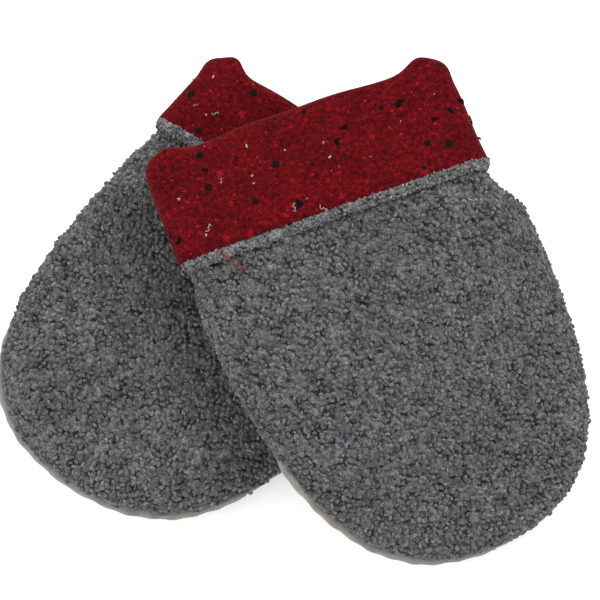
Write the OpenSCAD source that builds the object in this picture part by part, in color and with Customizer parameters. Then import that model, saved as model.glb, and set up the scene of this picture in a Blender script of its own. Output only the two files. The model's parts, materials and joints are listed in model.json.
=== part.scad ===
// A pair of lined, thumbless pouch mittens with turned-back cuffs, one lying across the other.
// Each mitten is modelled flat: x across the hand, mouth at y = 0, tip towards -y, z = 0 between
// its back and its palm. Then it is laid on the surface z = 0. The origin is the middle of the
// pair's footprint.

/* [Mitten pattern] */
// Length of the upper mitten, folded mouth to tip
upper_length = 146; // [135:1:160]
// Length of the lower mitten, folded mouth to tip
lower_length = 138; // [135:1:160]
// Width across the folded mouth
mouth_width = 92; // [86:1:98]
// How far the straight side swells out below the mouth
straight_swell = 5; // [3:0.5:8]
// How far the full side swells out below the mouth
full_swell = 10.5; // [6:0.5:13]
// How much more the upper mitten's full side swells
upper_extra_swell = 8; // [0:1:10]
// Pull of the full side towards a square tip
full_hip = 37.5; // [25:0.5:40]
// Shift of the tip towards the full side
tip_shift = 13; // [6:1:18]

/* [Cloth] */
// Thickness of the looped wool shell cloth
shell_t = 2.3; // [1.8:0.1:2.6]
// Thickness of the tweed lining cloth
lining_t = 1.1; // [0.8:0.1:1.3]
// Half the height of the hand pocket at the mouth
pocket_mouth = 3.5; // [3:0.25:4]
// Rise of the back over the hand, past the cuff
back_crown = 1.5; // [0:0.25:2.5]

/* [Cuffs] */
// Depth of the upper mitten's turned-back cuff
upper_cuff_depth = 36; // [28:1:40]
// Depth of the lower mitten's turned-back cuff
lower_cuff_depth = 28; // [24:1:34]
// How far the upper cuff draws the full side in
upper_hug = 6; // [3:0.5:7]
// How far the lower cuff draws the full side in
lower_hug = 1; // [0:0.5:3]
// Radius of the rolled shell edge along the cuff
roll_r = 1.6; // [1.2:0.1:1.8]

/* [Placing] */
// Turn of the upper mitten about the vertical
upper_turn = 20; // [18:1:22]
// Turn of the lower mitten about the vertical
lower_turn = -32; // [-34:1:-30]
// Tilt of the upper mitten, full side down
upper_roll = 2; // [1.5:0.25:2.5]
// Height of the upper mitten's middle at the mouth
upper_z = 36; // [36:0.5:38]
// How far the upper mitten droops from the lower one towards the surface
upper_droop = 24; // [18:1:24]

/* [Hidden] */
PARTS = [
    "back_shell", "palm_shell", "shell_seam", "back_lining", "palm_lining", "lining_seam",
    "back_fold", "palm_fold",
    "back_cuff_face", "back_cuff_backing", "back_cuff_stitch", "back_cuff_roll",
    "palm_cuff_face", "palm_cuff_backing", "palm_cuff_stitch", "palm_cuff_roll"
];

GREY = [0.38, 0.38, 0.39];
PALE_GREY = [0.47, 0.47, 0.48];
RED = [0.45, 0.08, 0.10];
DARK_RED = [0.30, 0.05, 0.06];

HUG_REACH = 18;                                    // how far past the cuff the sides swell out again
STRAIGHT_HUG = 0.3;                                // the straight side's share of the full side's hug
FULL_HALF_W = 55;                                  // half the greatest width, which insets scale by
SHOULDER = 0.396;                                  // how far down the sides keep straight, of the length
PLY_GAP = 0.15;                                    // between two plies of one mitten
SEAM_GAP = 0.5;                                    // between back and palm at the side seam
THREAD_T = 0.2;                                    // thickness of a row of stitches
CUFF_GAP = 0.35;                                   // between the cuff and the shell it lies on
STITCH_GAP = 0.4;                                  // between cuff face and backing, for the stitches
BACKING_T = 1.9;                                   // thickness of the shell cloth inside the cuff
MOUTH_H = pocket_mouth + lining_t + PLY_GAP + shell_t;  // shell's half height at the mouth
CUFF_T = CUFF_GAP + BACKING_T + STITCH_GAP + lining_t;  // what the cuff adds to it
LAID_H = MOUTH_H + CUFF_T + SEAM_GAP / 2;          // height of the lower mitten's middle over the surface
FOLD_Y = -4;                                       // fold line, set in from the mouth's outer edge
FOLD_Z = MOUTH_H + CUFF_GAP / 2 + SEAM_GAP / 2;    // height of the fold line over the middle
FOLD_R = 3.5;                                      // radius of the rounded fold
FOLD_SHORT = 16;                                   // how much shorter it is than the mouth
PLY_Y = FOLD_Y - FOLD_R - 0.4;                     // where the flat plies start below the fold
TIP_T = 0.985;                                     // last row of a panel, just short of the tip
MOUTH_SQUARENESS = 4.5;                            // of a cross-section at the cuff: 2 is an ellipse
BODY_SQUARENESS = 2.8;                             // and past the cuff
PLATEAU = 1.02;                                    // above 1, its top and bottom are flat
DROOP_DIRECTION = [0.62, -0.79];                   // across the upper mitten, off the lower one's edge
DROOP_FROM = 55;                                   // where it starts along that direction
DROOP_REACH = 62;                                  // and how far it takes
COLUMNS = 14;
PANEL_ROWS = 13;
CUFF_ROWS = 4;
ROLL_SIDES = 8;

LOWER_AT = [16, 56.7, LAID_H];
UPPER_AT = [-0.7, 60, upper_z];

// ---- the pattern ----

function bez(t, a, b, c, d) =
    a * pow(1 - t, 3) + 3 * b * t * pow(1 - t, 2) + 3 * c * t * t * (1 - t) + d * pow(t, 3);
function row_y(t, len) = -bez(t, 0, SHOULDER * len, len, len);
function straight_x(t) = bez(t, -mouth_width / 2, -mouth_width / 2 - straight_swell,
                             -mouth_width / 2 - 3.5, tip_shift);
function full_x(t, extra) = bez(t, mouth_width / 2, mouth_width / 2 + full_swell + extra,
                                mouth_width / 2 + full_hip - 0.375 * extra, tip_shift);
function ease(x) = let (c = min(max(x, 0), 1)) c * c * (3 - 2 * c);

// The row parameter whose y is the given one, by halving.
function row_at(y, len, lo = 0, hi = 1, steps = 20) =
    let (mid = (lo + hi) / 2)
    steps == 0 ? mid
    : row_y(mid, len) > y ? row_at(y, len, mid, hi, steps - 1)
    : row_at(y, len, lo, mid, steps - 1);

// Half height of the shell's outside at a row: flat under the cuff, fuller past it, thin at the tip.
function half_height(t, len, depth, rise) =
    (MOUTH_H + rise * ease((-row_y(t, len) - depth) / 24)) * sqrt(1 - pow(t, 8));

// How strongly the cuff draws the sides in at a row: most at its edge, and not at all past HUG_REACH.
function hugged(t, cut) =
    let (y = row_y(t, cut[0]))
    ease(-y / cut[1]) * (1 - ease((-y - cut[1]) / HUG_REACH));

// How far the cloth hangs down at a place on a mitten that droops by `drop`.
function droop(x, y, drop) = -drop * ease(([x, y] * DROOP_DIRECTION - DROOP_FROM) / DROOP_REACH);

// A point of the skin that lies `inset` inside the shell's outside, at row t and column u (-1 to 1).
// side is 1 on the back and -1 on the palm. cut is [length, cuff depth, droop, hug,
// extra swell].
function skin(t, u, inset, side, cut, rise) =
    let (
        len = cut[0],
        hug = cut[3] * hugged(t, cut),
        left = straight_x(t) + STRAIGHT_HUG * hug,
        right = full_x(t, cut[4]) - hug,
        x = ((left + right) / 2 + u * (right - left) / 2) * (1 - inset / FULL_HALF_W),
        y = row_y(t, len) * (1 - inset / len * ease((t - 0.45) / 0.5)),
        past_cuff = ease((-y - cut[1]) / 30),
        power = MOUTH_SQUARENESS + (BODY_SQUARENESS - MOUTH_SQUARENESS) * past_cuff,
        bulge = min(PLATEAU * pow(1 - pow(min(abs(u), 1), power), 1 / power), 1),
        h = max(half_height(t, len, cut[1], rise) - inset, 0.3)
    )
    [x, y, side * (SEAM_GAP / 2 + h * bulge) + droop(x, y, cut[2])];

// Columns crowd towards the sides, where the section turns.
function column(j) = sin(-90 + 180 * j / COLUMNS);

// ---- solids ----

// A closed ply between two skins, over rows t0 to t1.
module ply(t0, t1, rows, outer, inner, side, cut, rise) {
    n = COLUMNS + 1;
    count = (rows + 1) * n;
    points = [
        for (inset = [outer, inner])
            for (i = [0 : rows])
                for (j = [0 : COLUMNS])
                    skin(t0 + (t1 - t0) * i / rows, column(j), inset, side, cut, rise)
    ];
    top = [
        for (i = [0 : rows - 1])
            for (j = [0 : COLUMNS - 1])
                let (a = i * n + j)
                each [[a, a + 1, a + n + 1], [a, a + n + 1, a + n]]
    ];
    bottom = [for (f = top) [f[2] + count, f[1] + count, f[0] + count]];
    rim = concat(
        [for (j = [0 : COLUMNS - 1]) [j + 1, j]],
        [for (j = [0 : COLUMNS - 1]) [rows * n + j, rows * n + j + 1]],
        [for (i = [0 : rows - 1]) [i * n, (i + 1) * n]],
        [for (i = [0 : rows - 1]) [(i + 1) * n + COLUMNS, i * n + COLUMNS]]
    );
    walls = [
        for (e = rim)
            each [[e[0], e[1], e[1] + count], [e[0], e[1] + count, e[0] + count]]
    ];
    faces = concat(top, bottom, walls);
    polyhedron(points, side > 0 ? faces : [for (f = faces) [f[2], f[1], f[0]]]);
}

// A tube of equal rings: points ring by ring, closed at both ends.
module tube(points, rings, sides) {
    wall = [
        for (i = [0 : rings - 2])
            for (k = [0 : sides - 1])
                let (a = i * sides + k, b = i * sides + (k + 1) % sides)
                each [[a, b, b + sides], [a, b + sides, a + sides]]
    ];
    first = [for (k = [sides - 1 : -1 : 0]) k];
    last = [for (k = [0 : sides - 1]) (rings - 1) * sides + k];
    polyhedron(points, concat(wall, [first, last]));
}

// A row of stitches in the side seam's gap: a thin flat line that follows the outline, in the same
// rows as the panels, so that it droops exactly as they do.
module seam_line(inset, cut) {
    t0 = row_at(PLY_Y, cut[0]);
    ts = [for (i = [0 : PANEL_ROWS]) t0 + (TIP_T - t0) * i / PANEL_ROWS];
    stations = concat(
        [for (t = ts) [t, -1]],
        [for (i = [PANEL_ROWS : -1 : 0]) [ts[i], 1]]
    );
    points = [
        for (s = stations)
            let (
                out = skin(s[0], s[1], inset, 1, cut, 0) - [0, 0, SEAM_GAP / 2],
                in = skin(s[0], s[1], inset + 0.6, 1, cut, 0) - [0, 0, SEAM_GAP / 2],
                up = [0, 0, THREAD_T / 2]
            )
            each [out - up, in - up, in + up, out + up]
    ];
    tube(points, len(stations), 4);
}

// The rolled shell edge that closes the cuff, swept over the hand from seam to seam.
module rolled_edge(t, inset, side, cut) {
    path = [for (j = [0 : COLUMNS]) skin(t, column(j) * 0.985, inset, side, cut, 0)];
    points = [
        for (j = [0 : COLUMNS])
            let (
                ahead = path[min(j + 1, COLUMNS)] - path[max(j - 1, 0)],
                along = ahead / norm(ahead),
                out = [-along.z, 0, along.x]
            )
            for (k = [0 : ROLL_SIDES - 1])
                let (a = 360 * (k + 0.5) / ROLL_SIDES)
                path[j] + roll_r * (cos(a) * out + sin(a) * [0, 1, 0])
    ];
    tube(points, COLUMNS + 1, ROLL_SIDES);
}

// The rounded fold of the lining over the mouth, along the line that the cuff turns about.
module fold_bead(side) {
    translate([0, FOLD_Y, side * FOLD_Z])
        rotate([0, 90, 0])
            cylinder(h = mouth_width - FOLD_SHORT, r = FOLD_R, center = true, $fn = 32);
}

// ---- one module per piece of a mitten ----

function rise(side) = side > 0 ? back_crown : CUFF_T;

module shell(side, cut) {
    color(GREY) ply(row_at(PLY_Y, cut[0]), TIP_T, PANEL_ROWS, 0, shell_t, side, cut, rise(side));
}

module lining(side, cut) {
    outer = shell_t + PLY_GAP;
    color(DARK_RED)
        ply(row_at(PLY_Y, cut[0]), TIP_T, PANEL_ROWS, outer, outer + lining_t, side, cut, rise(side));
}

module shell_seam(cut) {
    color("dimgray") seam_line(0.8, cut);
}

module lining_seam(cut) {
    color("darkred") seam_line(shell_t + PLY_GAP + 0.25, cut);
}

module fold(side) {
    color(RED) fold_bead(side);
}

module cuff_ply(outer, inner, from_y, side, cut) {
    t1 = row_at(2 * roll_r + 0.2 - cut[1], cut[0]);
    ply(row_at(from_y, cut[0]), t1, CUFF_ROWS, outer, inner, side, cut, 0);
}

module cuff_face(side, cut) {
    color(RED) cuff_ply(-CUFF_T, lining_t - CUFF_T, PLY_Y, side, cut);
}

module cuff_backing(side, cut) {
    color(PALE_GREY) cuff_ply(-CUFF_GAP - BACKING_T, -CUFF_GAP, PLY_Y, side, cut);
}

module cuff_stitch(side, cut) {
    middle = lining_t - CUFF_T + STITCH_GAP / 2;
    color("darkred") cuff_ply(middle - THREAD_T / 2, middle + THREAD_T / 2, 6 - cut[1], side, cut);
}

module cuff_roll(side, cut) {
    color(PALE_GREY) rolled_edge(row_at(roll_r - cut[1], cut[0]), roll_r - CUFF_T, side, cut);
}

// ---- assembly ----

module piece(part, cut) {
    if (part == "back_shell") shell(1, cut);
    if (part == "palm_shell") shell(-1, cut);
    if (part == "shell_seam") shell_seam(cut);
    if (part == "back_lining") lining(1, cut);
    if (part == "palm_lining") lining(-1, cut);
    if (part == "lining_seam") lining_seam(cut);
    if (part == "back_fold") fold(1);
    if (part == "palm_fold") fold(-1);
    if (part == "back_cuff_face") cuff_face(1, cut);
    if (part == "back_cuff_backing") cuff_backing(1, cut);
    if (part == "back_cuff_stitch") cuff_stitch(1, cut);
    if (part == "back_cuff_roll") cuff_roll(1, cut);
    if (part == "palm_cuff_face") cuff_face(-1, cut);
    if (part == "palm_cuff_backing") cuff_backing(-1, cut);
    if (part == "palm_cuff_stitch") cuff_stitch(-1, cut);
    if (part == "palm_cuff_roll") cuff_roll(-1, cut);
}

// The lower mitten is the other hand's: mirrored, flat on the surface.
module lower(part) {
    translate(LOWER_AT)
        rotate([0, 0, lower_turn])
            mirror([1, 0, 0])
                piece(part, [lower_length, lower_cuff_depth, 0, lower_hug, 0]);
}

// The upper mitten lies across it and droops to the surface on its full side and at its tip.
module upper(part) {
    translate(UPPER_AT)
        rotate([0, 0, upper_turn])
            rotate([0, upper_roll, 0])
                piece(part, [upper_length, upper_cuff_depth, upper_droop, upper_hug,
                             upper_extra_swell]);
}

for (part = PARTS) {
    lower(part);
    upper(part);
}
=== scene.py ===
"""Looks for a pair of lined, thumbless pouch mittens with turned-back tweed cuffs.

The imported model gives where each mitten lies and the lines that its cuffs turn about. Each mitten is
worked out flat, in millimetres: x across the hand, the mouth at y = 0, the tip towards -y.
"""

import json
import logging
import math
from dataclasses import dataclass
from enum import Enum
from typing import Any, Sequence

import bpy
import numpy as np
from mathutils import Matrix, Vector


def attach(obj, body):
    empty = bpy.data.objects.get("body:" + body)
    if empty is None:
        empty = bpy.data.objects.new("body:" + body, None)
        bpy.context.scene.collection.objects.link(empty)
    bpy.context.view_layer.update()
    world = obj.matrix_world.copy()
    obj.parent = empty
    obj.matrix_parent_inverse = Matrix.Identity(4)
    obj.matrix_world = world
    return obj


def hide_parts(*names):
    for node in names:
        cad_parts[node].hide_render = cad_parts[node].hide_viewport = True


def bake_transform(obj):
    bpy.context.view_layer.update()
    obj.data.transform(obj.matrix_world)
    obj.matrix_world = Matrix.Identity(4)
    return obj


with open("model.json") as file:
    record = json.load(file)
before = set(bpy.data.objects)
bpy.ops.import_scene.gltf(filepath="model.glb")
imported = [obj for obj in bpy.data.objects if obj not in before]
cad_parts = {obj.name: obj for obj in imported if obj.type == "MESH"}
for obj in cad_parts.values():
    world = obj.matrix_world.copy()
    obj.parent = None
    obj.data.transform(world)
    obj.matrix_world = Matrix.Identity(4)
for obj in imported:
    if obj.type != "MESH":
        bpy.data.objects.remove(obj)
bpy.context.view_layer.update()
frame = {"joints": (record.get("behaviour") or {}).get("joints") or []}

MM = 0.001
HALF_TURN = 3.14
ASKEW = (0.31, 0.17, 0.93)  # a direction that no swept path starts along
LOG = logging.getLogger("mittens")

Array = np.ndarray


# ---- nodes ----


class Wire:
    """An output socket that Python's operators act on by adding Math nodes."""

    def __init__(self, bench: "Bench", socket: bpy.types.NodeSocket) -> None:
        """Keeps the socket and the bench that makes its nodes."""
        self.bench = bench
        self.socket = socket

    def math(self, operation: str, a: Any, b: Any = 0.0, clamp: bool = False) -> "Wire":
        """Adds one Math node.

        Args:
            operation: the Math node's operation.
            a: its first value or wire.
            b: its second value or wire.
            clamp: whether the result stays within 0 and 1.

        Returns:
            The node's output.
        """
        return self.bench.make("ShaderNodeMath", {0: a, 1: b}, operation=operation, use_clamp=clamp)

    def __add__(self, other: Any) -> "Wire":
        """Adds."""
        return self.math("ADD", self, other)

    __radd__ = __add__

    def __sub__(self, other: Any) -> "Wire":
        """Subtracts."""
        return self.math("SUBTRACT", self, other)

    def __rsub__(self, other: Any) -> "Wire":
        """Subtracts from a number."""
        return self.math("SUBTRACT", other, self)

    def __mul__(self, other: Any) -> "Wire":
        """Multiplies."""
        return self.math("MULTIPLY", self, other)

    __rmul__ = __mul__

    def below(self, limit: float) -> "Wire":
        """Gives 1 below a limit and 0 above it."""
        return self.math("LESS_THAN", self, limit)

    def sine(self) -> "Wire":
        """Takes the sine."""
        return self.math("SINE", self)

    def clamped(self) -> "Wire":
        """Keeps within 0 and 1."""
        return self.math("ADD", self, 0.0, clamp=True)


class Bench:
    """Makes and links the nodes of one tree."""

    def __init__(self, tree: bpy.types.NodeTree) -> None:
        """Keeps the tree."""
        self.tree = tree

    def node(self, kind: str, inputs: dict | None = None, **settings: Any) -> bpy.types.Node:
        """Makes a node.

        Args:
            kind: the node's type.
            inputs: values or wires by the socket's name or number.
            settings: the node's own settings, set first. `stops` fills a colour ramp.

        Returns:
            The node.
        """
        node = self.tree.nodes.new(kind)
        for name, value in settings.items():
            if name == "stops":
                self._fill_ramp(node.color_ramp, value)
            else:
                setattr(node, name, value)
        for name, value in (inputs or {}).items():
            socket = node.inputs[name]
            if isinstance(value, Wire):
                self.tree.links.new(value.socket, socket)
            else:
                socket.default_value = value
        return node

    def make(self, kind: str, inputs: dict | None = None, out: Any = 0, **settings: Any) -> Wire:
        """Makes a node, as `node` does, and returns the wire from its output `out`."""
        return Wire(self, self.node(kind, inputs, **settings).outputs[out])

    @staticmethod
    def _fill_ramp(ramp: bpy.types.ColorRamp, stops: Sequence[tuple]) -> None:
        """Sets a ramp's stops, each (place, (red, green, blue))."""
        while len(ramp.elements) < len(stops):
            ramp.elements.new(1.0)
        for element, (place, colour) in zip(ramp.elements, stops):
            element.position = place
            element.color = (*colour, 1.0)


# ---- finishes ----


@dataclass(frozen=True)
class Finish:
    """What every cloth finish has."""

    name: str
    roughness: float = 0.95
    specular: float = 0.12
    sheen: float = 0.25
    sheen_tint: tuple = (1.0, 1.0, 1.0)

    def build(self) -> bpy.types.Material:
        """Returns the material, made once."""
        found = bpy.data.materials.get(self.name)
        if found:
            return found
        material = bpy.data.materials.new(self.name)
        material.use_nodes = True
        bench = Bench(material.node_tree)
        shader = material.node_tree.nodes["Principled BSDF"]
        shader.inputs["Roughness"].default_value = self.roughness
        shader.inputs["Specular IOR Level"].default_value = self.specular
        shader.inputs["Sheen Weight"].default_value = self.sheen
        shader.inputs["Sheen Tint"].default_value = (*self.sheen_tint, 1.0)
        shader.inputs["Sheen Roughness"].default_value = 0.45
        colour, bump = self.dress(bench)
        material.node_tree.links.new(colour.socket, shader.inputs["Base Color"])
        if bump is not None:
            material.node_tree.links.new(bump.socket, shader.inputs["Normal"])
        return material

    def dress(self, bench: Bench) -> tuple[Wire, Wire | None]:
        """Returns the colour and the bumped normal."""
        raise NotImplementedError


def noise(bench: Bench, where: Wire, size: float, detail: float = 2.0, rough: float = 0.5) -> Wire:
    """Adds a noise whose lumps are about `size` metres across.

    Args:
        bench: the tree's bench.
        where: the coordinates.
        size: the lumps' size.
        detail: the number of finer octaves.
        rough: their strength.

    Returns:
        The noise, about 0.5 on average.
    """
    inputs = {"Vector": where, "Scale": 1 / size, "Detail": detail, "Roughness": rough}
    return bench.make("ShaderNodeTexNoise", inputs)


def wander(bench: Bench, where: Wire, amount: float | Wire, scale: float | Wire, detail: float) -> Wire:
    """Moves coordinates about with a noise.

    Args:
        bench: the tree's bench.
        where: the coordinates.
        amount: how far they move.
        scale: the noise's scale.
        detail: the number of its finer octaves.

    Returns:
        The moved coordinates.
    """
    inputs = {"Vector": where, "Scale": scale, "Detail": detail}
    drift = bench.make("ShaderNodeTexNoise", inputs, out="Color")
    drift = bench.make("ShaderNodeVectorMath", {0: drift, 1: (0.5, 0.5, 0.5)}, operation="SUBTRACT")
    drift = bench.make("ShaderNodeVectorMath", {0: drift, "Scale": amount}, operation="SCALE")
    return bench.make("ShaderNodeVectorMath", {0: where, 1: drift}, operation="ADD")


def mix(bench: Bench, under: Wire, over: Any, share: Any = 1.0, blend: str = "MIX") -> Wire:
    """Lays one colour over another by a share."""
    inputs = {"Factor": share, 6: under, 7: over}
    return bench.make("ShaderNodeMix", inputs, out=2, data_type="RGBA", blend_type=blend)


@dataclass(frozen=True)
class LoopedWool(Finish):
    """Grey heather looped wool, flecked with light and dark fibres, with painted shade: dark in the gaps
    between the loops and pale on their tops.
    """

    level: float = 1.0

    def dress(self, bench: Bench) -> tuple[Wire, Wire | None]:
        """Returns the colour and the bumped normal."""
        where = bench.make("ShaderNodeTexCoord", out="Object")
        pile = bench.make("ShaderNodeAttribute", attribute_name="pile", out="Fac")
        fibre = noise(bench, where, 0.42 * MM, 3, 0.7)
        fleck = noise(bench, where, 1.1 * MM, 2, 0.6)
        patch = noise(bench, where, 14 * MM, 2, 0.5)
        # Painted shade: `pile` is the loops' height, so the gaps between loops are painted dark and their
        # tops pale. On loose curls `pile` is a random tone.
        tone = pile * 0.80 + (fleck - 0.5) * 0.60 + (fibre - 0.5) * 1.3 + (patch - 0.5) * 0.20
        k = self.level
        grey = [(0.0, 0.012), (0.22, 0.035), (0.45, 0.095), (0.68, 0.185), (1.0, 0.42)]
        colour = bench.make(
            "ShaderNodeValToRGB",
            {"Fac": tone.clamped()},
            stops=[(p, (v * k, v * k * 0.99, v * k)) for p, v in grey],
        )
        tint = bench.make(
            "ShaderNodeValToRGB",
            {"Fac": noise(bench, where, 2.6 * MM, 2, 0.6)},
            stops=[(0.3, (0.93, 0.95, 1.09)), (0.5, (1.0, 1.0, 1.0)), (0.72, (1.08, 1.01, 0.96))],
        )
        height = fibre * 0.8 + fleck * 0.5
        bump = bench.make("ShaderNodeBump", {"Height": height, "Strength": 1.0, "Distance": 0.6 * MM})
        return mix(bench, colour, tint, blend="MULTIPLY"), bump


@dataclass(frozen=True)
class Blob:
    """One kind of nep or slub in the tweed, with sizes in units of 10 mm.

    At most one lies in each cell: `cells` is cells per unit, `share` the share of them that hold one.
    """

    cells: float
    share: float
    small: float
    large: float
    ragged: float
    strength: float
    colour: tuple


SLUB = Blob(1.5, 0.40, 0.04, 0.12, 0.30, 0.45, (0.36, 0.009, 0.016))
FLECK = Blob(3.6, 0.22, 0.02, 0.05, 0.12, 0.5, (0.46, 0.018, 0.030))
BLACK_BLOB = Blob(0.95, 0.55, 0.05, 0.17, 0.17, 1.0, (0.009, 0.005, 0.006))
SPECK = Blob(2.4, 0.42, 0.018, 0.05, 0.10, 0.85, (0.012, 0.004, 0.006))
WHITE_BLOB = Blob(0.85, 0.36, 0.022, 0.05, 0.20, 1.0, (0.46, 0.36, 0.36))


@dataclass(frozen=True)
class FleckedTweed(Finish):
    """Dark red milled tweed with bright red slubs and black and white neps."""

    yarn: float = 1.05
    edge: float = 0.6
    reds: tuple = (
        (0.0, (0.018, 0.0016, 0.0024)),
        (0.30, (0.062, 0.0026, 0.0040)),
        (0.52, (0.112, 0.0034, 0.0054)),
        (0.74, (0.205, 0.0052, 0.0085)),
        (1.0, (0.460, 0.0150, 0.0210)),
    )

    def dress(self, bench: Bench) -> tuple[Wire, Wire | None]:
        """Returns the colour and the bumped normal."""
        uv = bench.make("ShaderNodeUVMap", uv_map="Weave")
        axes = bench.node("ShaderNodeSeparateXYZ", {0: wander(bench, uv, 0.05, 4.0, 2.0)})
        turn = 2 * math.pi * 10 / self.yarn
        across, along = (Wire(bench, axes.outputs[i]) * turn for i in (0, 1))
        twill = (across + along).sine() * 0.5 + (across - along).sine() * 0.25
        mottle, fine, broad = (
            bench.make(
                "ShaderNodeTexNoise", {"Vector": uv, "Scale": scale, "Detail": detail, "Roughness": rough}
            )
            for scale, detail, rough in ((6.5, 4.0, 0.7), (26.0, 2.0, 0.6), (1.1, 2.0, 0.5))
        )
        tone = 0.42 + twill * 0.10 + (mottle - 0.5) * 1.6 + (fine - 0.5) * 0.8 + (broad - 0.5) * 0.4
        colour = bench.make("ShaderNodeValToRGB", {"Fac": tone.clamped()}, stops=self.reds)
        shares = {}
        for blob in (SLUB, FLECK, BLACK_BLOB, SPECK, WHITE_BLOB):
            shares[blob] = self.blobs(bench, uv, blob)
            colour = mix(bench, colour, (*blob.colour, 1.0), shares[blob] * blob.strength)
        height = twill * 0.35 + mottle * 0.9 + fine * 0.5
        height = height + shares[BLACK_BLOB] * 0.5 + shares[WHITE_BLOB] * 0.6
        bump = bench.make("ShaderNodeBump", {"Height": height, "Strength": 0.55, "Distance": 0.28 * MM})
        return colour, bump

    def blobs(self, bench: Bench, uv: Wire, blob: Blob) -> Wire:
        """Scatters blobs of fibre over the cloth's coordinates.

        Args:
            bench: the tree's bench.
            uv: the cloth's own coordinates, 1 to 10 mm.
            blob: their kind.

        Returns:
            1 on a blob and 0 off it.
        """
        place = wander(bench, uv, blob.ragged, 9.0, 2.0)
        inputs = {"Vector": place, "Scale": blob.cells}
        cells = bench.node("ShaderNodeTexVoronoi", inputs, feature="F1", voronoi_dimensions="2D")
        dice = bench.node("ShaderNodeSeparateColor", {0: Wire(bench, cells.outputs["Color"])})
        distance = Wire(bench, cells.outputs["Distance"])
        wide = (blob.large - blob.small) * blob.cells
        radius = Wire(bench, dice.outputs[1]) * wide + blob.small * blob.cells
        held = Wire(bench, dice.outputs[0]).below(blob.share)
        return ((radius - distance) * (1 / (self.edge * blob.small * blob.cells))).clamped() * held


@dataclass(frozen=True)
class DyedFibre(Finish):
    """Fibre of one colour with a fine grain: sewing thread, or a nep's matted bead."""

    colour: tuple = (0.1, 0.1, 0.1)
    grain: float = 0.3 * MM
    coarse: float = 0.6
    shades: tuple = (0.55, 1.5)
    strength: float = 0.4
    depth: float = 0.1 * MM

    def dress(self, bench: Bench) -> tuple[Wire, Wire | None]:
        """Returns the colour and the bumped normal."""
        grain = noise(bench, bench.make("ShaderNodeTexCoord", out="Object"), self.grain, 3, self.coarse)
        low, high = (tuple(c * k for c in self.colour) for k in self.shades)
        colour = bench.make("ShaderNodeValToRGB", {"Fac": grain}, stops=[(0.3, low), (0.7, high)])
        inputs = {"Height": grain, "Strength": self.strength, "Distance": self.depth}
        return colour, bench.make("ShaderNodeBump", inputs)


@dataclass(frozen=True)
class RimCloth(Finish):
    """The shell cloth's smooth edge, where its loops are brushed flat, in pale tan greys: painted light,
    the floor's light thrown up onto the side wall.
    """

    def dress(self, bench: Bench) -> tuple[Wire, Wire | None]:
        """Returns the colour and the bumped normal."""
        where = bench.make("ShaderNodeTexCoord", out="Object")
        fibre = noise(bench, where, 0.5 * MM, 3, 0.7)
        patch = noise(bench, where, 5 * MM, 2, 0.5)
        tone = fibre * 0.6 + patch * 0.4
        # Painted light: tan greys paler than the wool's, for the floor's light on the side wall.
        colour = bench.make(
            "ShaderNodeValToRGB",
            {"Fac": tone},
            stops=[
                (0.30, (0.13, 0.122, 0.112)),
                (0.50, (0.245, 0.231, 0.212)),
                (0.72, (0.36, 0.34, 0.315)),
            ],
        )
        bump = bench.make("ShaderNodeBump", {"Height": tone, "Strength": 0.6, "Distance": 0.3 * MM})
        return colour, bump


@dataclass(frozen=True)
class PaleFloor(Finish):
    """The plain surface that the pair lies on, lit from below as well."""

    colour: tuple = (0.92, 0.92, 0.92)
    glow: float = 0.42
    roughness: float = 0.9
    sheen: float = 0.0

    def build(self) -> bpy.types.Material:
        """Returns the material, the same all over."""
        material = bpy.data.materials.new(self.name)
        material.use_nodes = True
        shader = material.node_tree.nodes["Principled BSDF"]
        shader.inputs["Base Color"].default_value = (*self.colour, 1.0)
        shader.inputs["Roughness"].default_value = self.roughness
        shader.inputs["Specular IOR Level"].default_value = 0.0
        shader.inputs["Emission Color"].default_value = (1.0, 1.0, 1.0, 1.0)
        shader.inputs["Emission Strength"].default_value = self.glow
        return material


WOOL = LoopedWool("looped_wool", specular=0.05, sheen=0.3, level=1.14)
# Painted light: the shell's wool at a higher level, a lighter copy that paints light onto the rolled cuff
# edges and their curls.
ROLL_WOOL_PAINTED_LIGHT = LoopedWool("pale_looped_wool", specular=0.05, sheen=0.3, level=1.6)
RIM_PAINTED_LIGHT = RimCloth("rim_cloth")
TWEED = FleckedTweed("flecked_tweed", specular=0.05, sheen=0.05, sheen_tint=(0.9, 0.25, 0.25))
GREY_THREAD = DyedFibre("grey_thread", roughness=0.6, colour=(0.09, 0.09, 0.095))
RED_THREAD = DyedFibre("red_thread", roughness=0.6, colour=(0.22, 0.012, 0.016))
MATTED = {"grain": 0.35 * MM, "coarse": 0.7, "shades": (0.5, 1.7), "strength": 0.8, "depth": 0.2 * MM}
BLACK_NEP = DyedFibre("black_nep", specular=0.02, sheen=0.0, colour=(0.007, 0.004, 0.005), **MATTED)
WHITE_NEP = DyedFibre("white_nep", specular=0.05, sheen=0.1, colour=(0.36, 0.29, 0.28), **MATTED)
FLOOR = PaleFloor("pale_floor")


# ---- geometry nodes ----


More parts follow.
